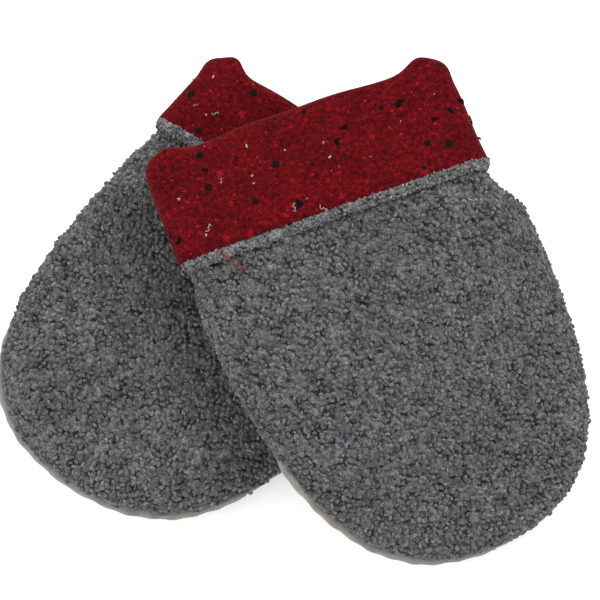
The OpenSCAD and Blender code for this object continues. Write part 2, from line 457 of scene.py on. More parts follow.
class GeometryTree:
    """A geometry node group with named inputs, which is applied and removed."""

    def __init__(self, name: str) -> None:
        """Starts a group with one geometry in and one out."""
        self.tree = bpy.data.node_groups.new(name, "GeometryNodeTree")
        self.bench = Bench(self.tree)
        self.inputs: dict[str, str] = {}
        self.tree.interface.new_socket("Geometry", in_out="INPUT", socket_type="NodeSocketGeometry")
        self.tree.interface.new_socket("Geometry", in_out="OUTPUT", socket_type="NodeSocketGeometry")
        self.entry = self.tree.nodes.new("NodeGroupInput")
        self.exit = self.tree.nodes.new("NodeGroupOutput")
        self.mesh = Wire(self.bench, self.entry.outputs[0])

    def ask(self, name: str, kind: str = "NodeSocketFloat") -> Wire:
        """Adds a named input and returns its wire."""
        socket = self.tree.interface.new_socket(name, in_out="INPUT", socket_type=kind)
        self.inputs[name] = socket.identifier
        return Wire(self.bench, self.entry.outputs[name])

    def done(self, wire: Wire) -> None:
        """Realizes what comes out, gives it the material and ends the group."""
        material = self.ask("Material", "NodeSocketMaterial")
        real = self.bench.make("GeometryNodeRealizeInstances", {0: wire})
        dressed = self.bench.make("GeometryNodeSetMaterial", {"Geometry": real, "Material": material})
        self.tree.links.new(dressed.socket, self.exit.inputs[0])

    def apply(self, piece: bpy.types.Object, values: dict[str, Any]) -> bpy.types.Object:
        """Runs the group on a piece and keeps the result as its plain mesh.

        Args:
            piece: the piece that is changed.
            values: a value for each named input.

        Returns:
            The piece.
        """
        modifier = piece.modifiers.new("make", "NODES")
        modifier.node_group = self.tree
        for name, value in values.items():
            modifier[self.inputs[name]] = value
        graph = bpy.context.evaluated_depsgraph_get()
        made = bpy.data.meshes.new_from_object(
            piece.evaluated_get(graph), preserve_all_data_layers=True, depsgraph=graph
        )
        piece.modifiers.clear()
        piece.data = made
        made.name = piece.name
        made.shade_smooth()
        return piece


def pile_tree() -> GeometryTree:
    """Returns the group that raises a cloth's outside into matted loops and marks their height, which the
    wool's colour uses for painted shade in the gaps.
    """
    group = GeometryTree("raise_pile")
    bench = group.bench
    size = group.ask("Loop size")
    height = group.ask("Loop height")
    place = bench.make("GeometryNodeInputPosition")
    scale = bench.make("ShaderNodeMath", {0: 1.0, 1: size}, operation="DIVIDE")
    bent = wander(bench, place, size * 1.3, scale * 0.9, 1.0)

    def lumps(times: float) -> Wire:
        """Returns round lumps, `times` as many to the length as there are loops."""
        cells = bench.make(
            "ShaderNodeTexVoronoi",
            {"Vector": bent, "Scale": scale * times, "Smoothness": 0.25},
            out="Distance",
            feature="SMOOTH_F1",
        )
        return 1.0 - (cells * cells) * 1.9

    clump = bench.make("ShaderNodeTexNoise", {"Vector": place, "Scale": scale * 0.38, "Detail": 1.0})
    raised = (lumps(1.0) * 0.55 + lumps(1.9) * 0.28 + (clump - 0.5) * 0.75 + 0.12).clamped()
    outer = bench.make("GeometryNodeInputNamedAttribute", {"Name": "outer"}, data_type="FLOAT")
    # `pile` is the loops' height. The wool paints its gaps darker from it, as painted shade.
    marked = bench.make(
        "GeometryNodeStoreNamedAttribute",
        {"Geometry": group.mesh, "Name": "pile", "Value": raised * 0.86},
        data_type="FLOAT",
        domain="POINT",
    )
    lift = (raised - 0.35) * height * outer
    normal = bench.make("GeometryNodeInputNormal")
    offset = bench.make("ShaderNodeVectorMath", {0: normal, "Scale": lift}, operation="SCALE")
    group.done(bench.make("GeometryNodeSetPosition", {"Geometry": marked, "Offset": offset}))
    return group


def scatter_tree() -> GeometryTree:
    """Returns the group that scatters one small piece over a cloth's outside."""
    group = GeometryTree("scatter")
    bench = group.bench
    instance = group.ask("Piece", "NodeSocketObject")
    density, apart = group.ask("Density"), group.ask("Apart")
    seed = group.ask("Seed", "NodeSocketInt")
    small, large, tilt = (group.ask(name) for name in ("Smallest", "Largest", "Tilt"))
    darkest, lightest = group.ask("Darkest"), group.ask("Lightest")
    outer = bench.make("GeometryNodeInputNamedAttribute", {"Name": "outer"}, data_type="FLOAT")
    points = bench.node(
        "GeometryNodeDistributePointsOnFaces",
        {
            "Mesh": group.mesh,
            "Distance Min": apart,
            "Density Max": density,
            "Density Factor": outer,
            "Seed": seed,
        },
        distribute_method="POISSON",
    )

    def chance(low: Wire, high: Wire, shift: int) -> Wire:
        """Returns a random number between two for each point."""
        inputs = {2: low, 3: high, "Seed": seed + shift}
        return bench.make("FunctionNodeRandomValue", inputs, out=1, data_type="FLOAT")

    toned = bench.make(
        "GeometryNodeStoreNamedAttribute",
        {
            "Geometry": Wire(bench, points.outputs["Points"]),
            "Name": "pile",
            "Value": chance(darkest, lightest, 3),
        },
        data_type="FLOAT",
        domain="POINT",
    )
    spin = bench.make(
        "FunctionNodeRandomValue",
        {0: (-1.0, -1.0, -HALF_TURN), 1: (1.0, 1.0, HALF_TURN), "Seed": seed},
        data_type="FLOAT_VECTOR",
    )
    spread = bench.make("ShaderNodeCombineXYZ", {0: tilt, 1: tilt, 2: 1.0})
    spin = bench.make("ShaderNodeVectorMath", {0: spin, 1: spread}, operation="MULTIPLY")
    spin = bench.make("FunctionNodeEulerToRotation", {0: spin})
    turned = bench.make(
        "FunctionNodeRotateRotation",
        {"Rotation": Wire(bench, points.outputs["Rotation"]), "Rotate By": spin},
        rotation_space="LOCAL",
    )
    thing = bench.make("GeometryNodeObjectInfo", {"Object": instance}, out="Geometry")
    placed = bench.make(
        "GeometryNodeInstanceOnPoints",
        {"Points": toned, "Instance": thing, "Rotation": turned, "Scale": chance(small, large, 7)},
    )
    group.done(placed)
    return group


def stitch_tree() -> GeometryTree:
    """Returns the group that lays stitches end to end along a line."""
    group = GeometryTree("stitches")
    bench = group.bench
    pitch = group.ask("Pitch")
    instance = group.ask("Stitch", "NodeSocketObject")
    line = bench.make("GeometryNodeMeshToCurve", {"Mesh": group.mesh})
    line = bench.make("GeometryNodeResampleCurve", {"Curve": line, "Length": pitch}, mode="LENGTH")
    tangent = bench.make("GeometryNodeInputTangent")
    turned = bench.make("FunctionNodeAlignRotationToVector", {"Vector": tangent}, axis="X")
    thing = bench.make("GeometryNodeObjectInfo", {"Object": instance}, out="Geometry")
    placed = bench.make(
        "GeometryNodeInstanceOnPoints", {"Points": line, "Instance": thing, "Rotation": turned}
    )
    group.done(placed)
    return group


# ---- meshes ----


def add_piece(name: str, mesh: bpy.types.Mesh) -> bpy.types.Object:
    """Links a mesh into the scene as a piece of that name."""
    piece = bpy.data.objects.new(name, mesh)
    bpy.context.scene.collection.objects.link(piece)
    return piece


def mesh_from(name: str, points: Array, faces: list[list[int]]) -> bpy.types.Mesh:
    """Makes a smooth mesh from points in millimetres and faces."""
    mesh = bpy.data.meshes.new(name)
    mesh.from_pydata((np.asarray(points) * MM).tolist(), [], faces)
    mesh.shade_smooth()
    return mesh


def tube(path: Array, radius: Array | float, sides: int) -> tuple[Array, list]:
    """Sweeps a ring along a path.

    Args:
        path: the centre line, one point a row.
        radius: the ring's radius, one for all or one a row.
        sides: how many sides the ring has.

    Returns:
        The points and the faces.
    """
    n = len(path)
    ahead = np.roll(path, -1, 0) - np.roll(path, 1, 0)
    ahead[0], ahead[-1] = path[1] - path[0], path[-1] - path[-2]
    ahead /= np.linalg.norm(ahead, axis=1)[:, None]
    normal = np.cross(ahead[0], ASKEW)
    frames = []
    for direction in ahead:
        normal = normal - direction * (normal @ direction)
        normal /= np.linalg.norm(normal)
        frames.append((normal, np.cross(direction, normal)))
    angle = 2 * np.pi * np.arange(sides) / sides
    radii = np.broadcast_to(radius, n)
    rings = [
        path[i] + radii[i] * (np.cos(angle)[:, None] * a + np.sin(angle)[:, None] * b)
        for i, (a, b) in enumerate(frames)
    ]
    faces = []
    for i in range(n - 1):
        for k in range(sides):
            a, b = i * sides + k, i * sides + (k + 1) % sides
            faces.append([a, b, b + sides, a + sides])
    faces += [list(range(sides))[::-1], [(n - 1) * sides + k for k in range(sides)]]
    return np.concatenate(rings), faces


def closed_sheet(name: str, outer: Array, inner: Array, flip: bool, uv: Array | None) -> bpy.types.Object:
    """Makes a closed cloth from its outside grid and a coarser inside grid.

    The attribute `outer` is 1 on the outside, less by its edges and 0 on the inside.

    Args:
        name: the piece's name.
        outer: the outside's points, rows by columns by 3.
        inner: the inside's, with a whole fraction of the rows and columns.
        flip: whether the faces are turned over.
        uv: the outside's cloth coordinates, rows by columns by 2, or None.

    Returns:
        The piece.
    """
    rows, cols = outer.shape[0] - 1, outer.shape[1] - 1
    in_rows, in_cols = inner.shape[0] - 1, inner.shape[1] - 1
    coarse = rows // in_rows
    base = (rows + 1) * (cols + 1)

    def out_at(i: int, j: int) -> int:
        """Returns an outside point's number."""
        return i * (cols + 1) + j

    def in_at(i: int, j: int) -> int:
        """Returns an inside point's number."""
        return base + i * (in_cols + 1) + j

    faces = [
        [out_at(i, j), out_at(i + 1, j), out_at(i + 1, j + 1), out_at(i, j + 1)]
        for i in range(rows)
        for j in range(cols)
    ]
    faces += [
        [in_at(i, j), in_at(i, j + 1), in_at(i + 1, j + 1), in_at(i + 1, j)]
        for i in range(in_rows)
        for j in range(in_cols)
    ]
    for j in range(in_cols):
        run = range(j * coarse, (j + 1) * coarse + 1)
        faces.append([out_at(0, f) for f in run] + [in_at(0, j + 1), in_at(0, j)])
        faces.append([out_at(rows, f) for f in reversed(run)] + [in_at(in_rows, j), in_at(in_rows, j + 1)])
    for i in range(in_rows):
        run = range(i * coarse, (i + 1) * coarse + 1)
        faces.append([out_at(f, 0) for f in reversed(run)] + [in_at(i, 0), in_at(i + 1, 0)])
        faces.append([out_at(f, cols) for f in run] + [in_at(i + 1, in_cols), in_at(i, in_cols)])
    if flip:
        faces = [f[::-1] for f in faces]
    points = np.concatenate([outer.reshape(-1, 3), inner.reshape(-1, 3)])
    mesh = mesh_from(name, points, faces)
    mesh.set_sharp_from_angle(angle=math.radians(60))
    to_ends, to_sides = (np.minimum(np.arange(n + 1), np.arange(n + 1)[::-1]) for n in (rows, cols))
    fade = np.clip(0.35 + np.minimum(to_ends[:, None], to_sides[None]) * 0.25, 0, 1)
    mark = np.concatenate([fade.ravel(), np.zeros(len(points) - base)])
    mesh.attributes.new("outer", "FLOAT", "POINT").data.foreach_set("value", mark.astype(np.float32))
    if uv is not None:
        every = np.concatenate([uv.reshape(-1, 2), uv[::coarse, ::coarse].reshape(-1, 2)])
        loops = np.zeros(len(mesh.loops), dtype=np.int32)
        mesh.loops.foreach_get("vertex_index", loops)
        layer = mesh.uv_layers.new(name="Weave")
        layer.data.foreach_set("uv", every[loops].astype(np.float32).ravel())
    return add_piece(name, mesh)


def spare_piece(name: str, points: Array, faces: list) -> bpy.types.Object:
    """Makes a small piece that is only scattered: it is hidden, and removed at the end."""
    piece = add_piece(name, mesh_from(name, points, faces))
    piece.hide_render = True
    return piece


# ---- the mittens ----


class Half(Enum):
    """The back and the palm of the hand, with the way each faces."""

    BACK = 1
    PALM = -1

    @property
    def word(self) -> str:
        """The half's word in names."""
        return self.name.lower()


@dataclass(frozen=True)
class Plies:
    """Thicknesses and gaps of the cloth, in millimetres."""

    shell: float = 2.3
    lining: float = 1.1
    pocket: float = 3.5
    back_crown: float = 1.5
    gap: float = 0.15
    seam_gap: float = 0.5
    cuff_gap: float = 0.35
    backing: float = 1.9
    stitch_gap: float = 0.4
    fold_in: float = 4.0
    fold_radius: float = 3.6

    @property
    def mouth(self) -> float:
        """Half height of the shell's outside at the mouth."""
        return self.pocket + self.lining + self.gap + self.shell

    @property
    def cuff(self) -> float:
        """What the cuff adds to that."""
        return self.cuff_gap + self.backing + self.stitch_gap + self.lining

    @property
    def start(self) -> float:
        """Where the flat plies start below the fold."""
        return -self.fold_in - 3.9


def ease(x: Array | float) -> Array:
    """Rises smoothly from 0 to 1 as x does."""
    c = np.clip(x, 0, 1)
    return c * c * (3 - 2 * c)


def bezier(t: Array, a: float, b: float, c: float, d: float) -> Array:
    """Returns a cubic Bezier curve's values."""
    return a * (1 - t) ** 3 + 3 * b * t * (1 - t) ** 2 + 3 * c * t * t * (1 - t) + d * t**3


@dataclass(frozen=True)
class Ears:
    """How the fold stands out at the two side seams and in the middle, in millimetres."""

    height: float
    place: float
    width: float
    fullness: float
    straight_height: float = 2.4
    straight_place: float = -41.0
    straight_width: float = 5.5
    belly_place: float = -2.0
    belly_width: float = 20.0
    ripple: float = 0.3
    ripple_run: float = 5.0

    def out(self, x: Array, seed: int) -> Array:
        """Returns how far the fold stands out at a place across the mouth."""
        full = self.height * np.exp(-(((x - self.place) / self.width) ** 2))
        straight = self.straight_height * np.exp(-(((x - self.straight_place) / self.straight_width) ** 2))
        belly = self.fullness * np.exp(-(((x - self.belly_place) / self.belly_width) ** 2))
        return full + straight + belly + self.ripple * np.sin(x / self.ripple_run + seed)


@dataclass(frozen=True)
class Pile:
    """How a cloth's loops are raised, and how its loose curls lie, in millimetres."""

    loop: float
    height: float
    apart: float = 0.0
    sizes: tuple = (1.0, 1.0)
    tilt: float = 0.0


SHELL_PILE = {
    Half.BACK: Pile(2.0, 1.3, 1.66, (0.85, 1.5), 0.6),
    Half.PALM: Pile(2.0, 1.3, 2.1, (0.85, 1.5), 0.6),
}
BACKING_PILE = Pile(1.8, 0.45)
INNER_FOLD_PILE = Pile(1.8, 0.3)
ROLL_PILE = Pile(1.6, 0.8, 1.15, (0.55, 0.95), 0.8)


@dataclass(frozen=True)
class Cut:
    """The flat pieces of cloth: widths and lengths in metres, and shares of the outline's area."""

    shell_width: float = 0.110
    shell_share: float = 0.93
    lining_width: float = 0.104
    lining_share: float = 0.88
    fold: tuple = (0.104, 0.022)
    inner_fold: tuple = (0.088, 0.010)
    cuff_width: float = 0.122
    cuff_loss: float = 0.010


@dataclass(frozen=True)
class CuffMake:
    """How half a cuff is made: how far each ply stops short of its depth, and its roll, in millimetres."""

    face_short: float = 2.6
    backing_short: float = 3.2
    stitch_short: float = 4.6
    face_turn: float = 0.45
    roll_radius: float = 1.5
    roll_short: float = 1.2
    roll_sink: float = 0.2
    roll_sides: int = 22
    roll_lobes: int = 3
    roll_depth: float = 0.13
    roll_twist: float = 0.34


@dataclass(frozen=True)
class Rim:
    """The edge of the palm's shell, in millimetres, whose pale colour is painted light.

    It peeps out most where the edge faces `way`, in the room, and past the row `start`.
    """

    width: float = 2.0
    rise: float = 1.9
    least: float = 0.35
    way: tuple = (-0.66, -0.75, 0)
    start: float = 0.46
    fade: float = 0.12
    inset: float = 0.6
    sink: float = 0.9
    tuck: float = 2.0
    reach: float = 2.6
    sides: int = 12


CUT = Cut()
CUFF = CuffMake()
RIM_EDGE = Rim()


@dataclass(frozen=True)
class Pattern:
    """One mitten's outline and section, as the CAD model cuts it, in millimetres.

    One side is nearly straight, and the other, the full side, swells past the cuff. The section is a
    superellipse whose power falls from `mouth_power` by `power_loss` past the cuff. Where the mitten
    lies over the other one, its tip droops along `droop_way`.
    """

    length: float
    cuff: float
    droop: float
    hug: float
    extra_swell: float
    mouth_width: float = 92.0
    straight_swell: float = 5.0
    full_swell: float = 10.5
    full_hip: float = 37.5
    hip_loss: float = 0.375
    straight_hip: float = 3.5
    straight_hug: float = 0.3
    hug_reach: float = 18.0
    tip_shift: float = 13.0
    shoulder: float = 0.396
    inset_taper: float = 55.0
    mouth_power: float = 4.5
    power_loss: float = 1.7
    power_reach: float = 30.0
    rise_reach: float = 24.0
    droop_from: float = 55.0
    droop_run: float = 62.0
    droop_way: tuple = (0.62, -0.79)
    plies: Plies = Plies()

    def row_y(self, t: Array) -> Array:
        """Returns the rows' y."""
        return -bezier(t, 0, self.shoulder * self.length, self.length, self.length)

    def row_at(self, y: Array | float) -> Array:
        """Returns the row whose y is the given one."""
        t = np.linspace(0, 1, 2000)
        return np.interp(-np.asarray(y, float), -self.row_y(t), t)

    def skin(self, t: Array, u: Array, inset: Array | float, half: Half, rise: float) -> Array:
        """Returns points of the skin that lies `inset` inside the shell's outside.

        Args:
            t: rows, 0 at the mouth and 1 at the tip.
            u: columns, -1 on the straight side and 1 on the full side.
            inset: the depth under the shell's outside; negative is above it.
            half: the back or the palm.
            rise: how much fuller it is past the cuff.

        Returns:
            The points, with rows and columns as t and u broadcast.
        """
        m = self.mouth_width / 2
        row = self.row_y(t)
        hug = self.hug * ease(-row / self.cuff) * (1 - ease((-row - self.cuff) / self.hug_reach))
        left = bezier(t, -m, -m - self.straight_swell, -m - self.straight_hip, self.tip_shift)
        left = left + self.straight_hug * hug
        swell = self.full_swell + self.extra_swell
        hip = self.full_hip - self.hip_loss * self.extra_swell
        right = bezier(t, m, m + swell, m + hip, self.tip_shift) - hug
        x = ((left + right) / 2 + u * (right - left) / 2) * (1 - inset / self.inset_taper)
        y = row * (1 - inset / self.length * ease((t - 0.45) / 0.5)) + 0 * u
        rounded = ease((-y - self.cuff) / self.power_reach)
        power = self.mouth_power - self.power_loss * rounded
        bulge = np.minimum(1.02 * (1 - np.minimum(np.abs(u), 1) ** power) ** (1 / power), 1)
        h = (self.plies.mouth + rise * ease((-row - self.cuff) / self.rise_reach)) * np.sqrt(1 - t**8)
        z = half.value * (0.06 + np.maximum(h - inset, 0.3) * bulge)
        along = self.droop_way[0] * x + self.droop_way[1] * y
        z = z - self.droop * ease((along - self.droop_from) / self.droop_run)
        return np.stack(np.broadcast_arrays(x, y, z), -1)

    def area(self) -> float:
        """Returns one panel's flat area from the mouth to the tip, in square metres."""
        t = np.linspace(0, 1, 400)
        edges = [self.skin(t, np.full_like(t, u), 0.0, Half.BACK, 0)[:, 0] for u in (-1, 1)]
        width, y = edges[1] - edges[0], -self.row_y(t)
        return float(np.sum((width[1:] + width[:-1]) / 2 * np.diff(y))) * MM * MM


class Lie:
    """How one mitten lies in the room, read from the lines that its cuffs turn about."""

    def __init__(self, who: str, mirrored: bool, plies: Plies) -> None:
        """Works out the mitten's axes from its two cuff joints."""
        joints = {j["name"]: j for j in frame["joints"]}
        back, palm = (joints[f"{who}_{half.word}_cuff_turn"] for half in Half)
        top, bottom = np.array(back["pos_m"]) / MM, np.array(palm["pos_m"]) / MM
        self.hinges = {Half.BACK: top, Half.PALM: bottom}
        self.x = np.array(palm["axis"]) / np.linalg.norm(palm["axis"])
        self.z = (top - bottom) / np.linalg.norm(top - bottom)
        self.y = np.cross(self.z, self.x)
        self.origin = (top + bottom) / 2 + plies.fold_in * self.y
        self.mirrored = mirrored

    def place(self, points: Array) -> Array:
        """Takes points from the mitten's own frame to the room, still in millimetres."""
        x = -points[..., 0] if self.mirrored else points[..., 0]
        return self.origin + x[..., None] * self.x + points[..., 1:2] * self.y + points[..., 2:3] * self.z

    def flips(self, half: Half) -> bool:
        """Whether a grid's faces have to be turned over to point outwards."""
        return (half is Half.PALM) != self.mirrored


class Tools:
    """The node groups and small pieces that both mittens share."""

    def __init__(self) -> None:
        """Makes them."""
        self.pile = pile_tree()
        self.scatter = scatter_tree()
        self.stitches = stitch_tree()
        turn = np.linspace(-1.75, 1.75, 6)
        hook = np.stack([0.46 * np.cos(turn), 0.5 * np.sin(turn), 0.06 + 0.14 * np.cos(2 * turn)], -1)
        hook[:, 0] -= 0.2
        swell = np.array([0.22, 0.37, 0.42, 0.42, 0.36, 0.20])
        self.curl = spare_piece("curl", *tube(hook, swell, 5))
        bend = np.linspace(-1.4, 1.4, 15)
        wisp = 0.42 * np.sin(2.4 * bend) + 0.3 * np.cos(6.5 * bend)
        squiggle = np.stack([bend - 0.35 * np.sin(5.2 * bend), wisp, np.full(15, 0.06)], -1)
        self.squiggle = spare_piece("squiggle", *tube(squiggle, 0.15, 4))
        bar = np.stack([np.linspace(-1.05, 1.05, 7), np.zeros(7), np.zeros(7)], -1)
        swell = 0.17 * np.sqrt(np.clip(1 - (np.linspace(-1, 1, 7) * 0.93) ** 2, 0.02, 1))
        self.stitch = spare_piece("stitch", *tube(bar, swell, 6))
        self.nep = spare_piece("nep", *self.blob())

    @staticmethod
    def blob() -> tuple[Array, list]:
        """Returns a flat ragged bead, about 2 mm across, with two smaller ones at its sides."""
        points, faces = [], []
        rows = np.linspace(-0.5 * np.pi + 0.25, 0.5 * np.pi - 0.25, 5)
        path = np.stack([np.zeros(5), np.zeros(5), 0.3 * np.sin(rows)], -1)
        for x, y, size in ((0.0, 0.0, 1.0), (1.25, 0.35, 0.42), (-1.05, 0.75, 0.28)):
            lobe, around = tube(path * size, np.cos(rows) * size, 11)
            swing = np.arctan2(lobe[:, 1], lobe[:, 0]) + x
            ragged = 0.26 * np.sin(2 * swing + 0.6) + 0.2 * np.sin(3 * swing) + 0.12 * np.sin(5 * swing)
            lobe[:, :2] *= (1 + ragged)[:, None]
            faces += [[i + sum(map(len, points)) for i in face] for face in around]
            points.append(lobe + [x, y, 0.0])
        return np.concatenate(points), faces

    def remove(self) -> None:
        """Removes the small pieces once everything is scattered."""
        for piece in (self.curl, self.squiggle, self.stitch, self.nep):
            bpy.data.objects.remove(piece)


class Mitten:
    """One mitten: its shell, lining, folds, cuffs and seams."""

    def __init__(
        self, who: str, pattern: Pattern, mirrored: bool, seed: int, ears: Ears, tools: Tools
    ) -> None:
        """Keeps what the mitten is cut to and where it lies.

        Args:
            who: "lower" or "upper".
            pattern: its outline.
            mirrored: whether it is the other hand's.
            seed: what sets its own unevenness.
            ears: how its fold stands out.
            tools: the shared node groups and small pieces.
        """
        self.who = who
        self.pattern = pattern
        self.plies = pattern.plies
        self.lie = Lie(who, mirrored, pattern.plies)
        self.seed = seed
        self.ears = ears
        self.tools = tools

    # -- helpers --

    @staticmethod
    def columns(count: int) -> Array:
        """Returns columns that crowd towards the sides, as a row."""
        return np.sin(np.linspace(-0.5, 0.5, count + 1) * np.pi)[None]

    def rise(self, half: Half) -> float:
        """Returns how much fuller a half is past the cuff."""
        return self.plies.back_crown if half is Half.BACK else self.plies.cuff

    def waves(self, points: Array, size: float, depth: float) -> Array:
        """Lets a cloth's surface wander up and down a little, in the mitten's own frame."""
        x, y = points[..., 0] / size, points[..., 1] / size
        s = self.seed
        lift = np.sin(1.9 * x + 0.8 * y + s) + np.sin(2.3 * y - 1.1 * x + 2 * s)
        lift = lift + np.sin(3.1 * x + 2.7 * y + 3 * s)
        out = points.copy()
        out[..., 2] += depth * lift / 3
        return out

    def grids(
        self, t0: float, t1: float, rows: int, cols: int, k: int, outer: float, inner: float, half: Half
    ) -> tuple[Array, Array]:
        """Returns the outside and inside grids of a ply between two insets, in its own frame."""
        rise = self.rise(half)
        t, u = np.linspace(t0, t1, rows * k + 1)[:, None], self.columns(cols * k)
        return (
            self.pattern.skin(t, u, outer, half, rise),
            self.pattern.skin(t[::k], u[:, ::k], inner, half, rise),
        )

    def weave(self, grid: Array, v_start: float, v_sign: float) -> Array:
        """Returns cloth coordinates for a grid: 1 for each 10 mm across and along."""
        middle = grid[grid.shape[0] // 2]
        steps = np.linalg.norm(np.diff(middle, axis=0), axis=1)
        u = np.concatenate([[0], np.cumsum(steps)])
        centre = grid[:, grid.shape[1] // 2]
        v = np.concatenate([[0], np.cumsum(np.linalg.norm(np.diff(centre, axis=0), axis=1))])
        u = np.broadcast_to((u - u[-1] / 2)[None], grid.shape[:2])
        v = np.broadcast_to((v_start + v_sign * v)[:, None], grid.shape[:2])
        return np.stack([u / 10 + 3 * self.seed, v / 10], -1)

    def settle(
        self, piece: bpy.types.Object, finish: Finish | None, body: str, slot: str, *nodes: str
    ) -> None:
        """Gives a piece what it still lacks: its finish and its body, and hides the CAD nodes it replaces.

        Args:
            piece: the piece.
            finish: its finish, or None where it already has one.
            body: the body that it rides on, or "" where it rides on none.
            slot: the record's slot; not used.
            nodes: the CAD nodes that it stands for.
        """
        if finish and not piece.data.materials:
            piece.data.materials.append(finish.build())
        if body:
            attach(piece, f"{self.who}_{body}")
        if nodes:
            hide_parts(*(f"{self.who}_{n}" for n in nodes))
        LOG.info("%s: %d faces", piece.name, len(piece.data.polygons))

    def raised(self, piece: bpy.types.Object, finish: Finish, pile: Pile) -> bpy.types.Object:
        """Raises a cloth's outside into loops."""
        values = {"Loop size": pile.loop * MM, "Loop height": pile.height * MM, "Material": finish.build()}
        return self.tools.pile.apply(piece, values)

    def curled(self, cloth: bpy.types.Object, name: str, finish: Finish, pile: Pile) -> bpy.types.Object:
        """Scatters loose curls over a looped cloth's outside."""
        return self.scattered(cloth, name, self.tools.curl, pile.apart, pile.sizes, finish, pile.tilt)

    def scattered(
        self, cloth: bpy.types.Object, name: str, shape: bpy.types.Object, apart: float,
        sizes: tuple[float, float], finish: Finish, tilt: float = 0.12, density: float = 1000.0,
    ) -> bpy.types.Object:
        """Scatters one small shape over a cloth's outside.

        Args:
            cloth: the cloth.
            name: the new piece's name.
            shape: what is scattered.
            apart: the least distance between two, in millimetres.
            sizes: the smallest and the largest scale.
            finish: what they are made of.
            tilt: how far they may lean, in radians.
            density: the most to a square centimetre.

        Returns:
            Them all, as one piece.
        """
        piece = add_piece(name, cloth.data.copy())
        values = {
            "Piece": shape, "Apart": apart * MM, "Density": density * 1e4,
            "Seed": self.seed * 97 + sum(map(ord, name)), "Smallest": sizes[0], "Largest": sizes[1],
            "Tilt": tilt, "Darkest": 0.48, "Lightest": 0.78, "Material": finish.build(),
        }
        return self.tools.scatter.apply(piece, values)

    # -- pieces --

    def shell(self, half: Half) -> None:
        """Makes one shell panel with its raised loops and loose curls."""
        p = self.plies
        name = f"{self.who}_{half.word}_shell"
        t0 = float(self.pattern.row_at(p.start))
        outer, inner = self.grids(t0, 0.994, 46, 38, 6, 0.0, p.shell - 0.3, half)
        outer = self.waves(outer, 17, 0.55)
        cloth = closed_sheet(
            f"{name}_cloth", self.lie.place(outer), self.lie.place(inner), self.lie.flips(half), None
        )
        self.raised(cloth, WOOL, SHELL_PILE[half])
        curls = self.curled(cloth, f"{name}_curls", WOOL, SHELL_PILE[half])
        self.settle(cloth, WOOL, "mitten", "boucle_shell", f"{half.word}_shell")
        self.settle(curls, WOOL, "mitten", "boucle_shell")
        extra = [curls] if half is Half.BACK else [curls, self.rim()]
        self.pattern.area() * CUT.shell_share

    def lining(self, half: Half) -> None:
        """Makes one lining panel inside the shell."""
        p = self.plies
        depth = p.shell + p.gap
        t0 = float(self.pattern.row_at(p.start + 0.6))
        outer, inner = self.grids(t0, 0.985, 30, 26, 2, depth + p.lining, depth, half)
        cloth = closed_sheet(
            f"{self.who}_{half.word}_lining_cloth", self.lie.place(outer), self.lie.place(inner),
            not self.lie.flips(half), self.weave(outer, -0.6, -1),
        )
        self.settle(cloth, TWEED, "mitten", "tweed_lining", f"{half.word}_lining")
        self.pattern.area() * CUT.lining_share

    def fold(self, half: Half) -> None:
        """Makes the lining's turn over the mouth, and the shell's inside it."""
        p = self.plies
        t = self.pattern.row_at(p.start)
        u = self.columns(96)
        face, lining = (
            self.pattern.skin(t, u, inset, half, 0)[0]
            for inset in (-p.cuff, p.shell + p.gap + p.lining)
        )
        middle, reach = (face + lining) / 2, (face - lining) / 2
        turn = np.linspace(0, np.pi, 25)
        run = np.linspace(p.start, -p.fold_in, 5)[:-1]

        def across(row: Array, y: Array | float) -> Array:
            """Returns a row moved to that y."""
            return np.stack([row[:, 0], np.broadcast_to(y, len(row)), row[:, 2]], -1)

        def profile(shrink: float) -> Array:
            """Returns the fold's surface, `shrink` inside its outside."""
            size = np.linalg.norm(reach, axis=1)[:, None]
            arm = reach * (1 - shrink / size)
            rows = [across(middle + arm, y) for y in run]
            for a in turn:
                row = middle + arm * np.cos(a)
                out = (p.fold_in - shrink + self.ears.out(row[:, 0], self.seed)) * np.sin(a)
                rows.append(across(row, -p.fold_in + out))
            return np.stack(rows + [across(middle - arm, y) for y in run[::-1]])

        outer, inner = profile(0.0), profile(p.lining)
        cloth = closed_sheet(
            f"{self.who}_{half.word}_fold_cloth", self.lie.place(outer), self.lie.place(inner),
            not self.lie.flips(half), self.weave(outer, 22.0, -1),
        )
        self.turned(cloth, half, 3.0)
        self.settle(cloth, TWEED, "", "tweed_lining", f"{half.word}_fold")
        self.inner_fold(half)

    def turned(self, cloth: bpy.types.Object, half: Half, reach: float) -> None:
        """Bakes a fold's placing into its points; the ends `reach` millimetres each side of the hinge are
        worked out and not used.
        """
        centre, up = self.lie.hinges[half], self.lie.z * half.value
        tuple((centre - reach * up) * MM)
        tuple((centre + reach * up) * MM)
        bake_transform(cloth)

    def inner_fold(self, half: Half) -> None:
        """Makes the shell cloth's own tight turn, inside the lining's."""
        p = self.plies
        t = self.pattern.row_at(p.start)
        base = self.pattern.skin(t, self.columns(180), -p.cuff_gap / 2, half, 0)[0]
        base = base[np.abs(base[:, 0]) < 44]
        turn = np.linspace(0.5 * np.pi, -0.5 * np.pi, 15)

        def surface(radius: float) -> Array:
            """Returns a turn of that radius about the fold line."""
            rows = [(y, radius) for y in np.linspace(p.start - 0.4, -p.fold_in, 13)[:-1]]
            rows += [(-p.fold_in + radius * math.cos(a), radius * math.sin(a)) for a in turn]
            rows += [(y, -radius) for y in np.linspace(-p.fold_in, p.start - 0.4, 13)[1:]]
            x, z = base[:, 0], base[:, 2]
            return np.stack([np.stack([x, np.full(len(x), y), z + half.value * h], -1) for y, h in rows])

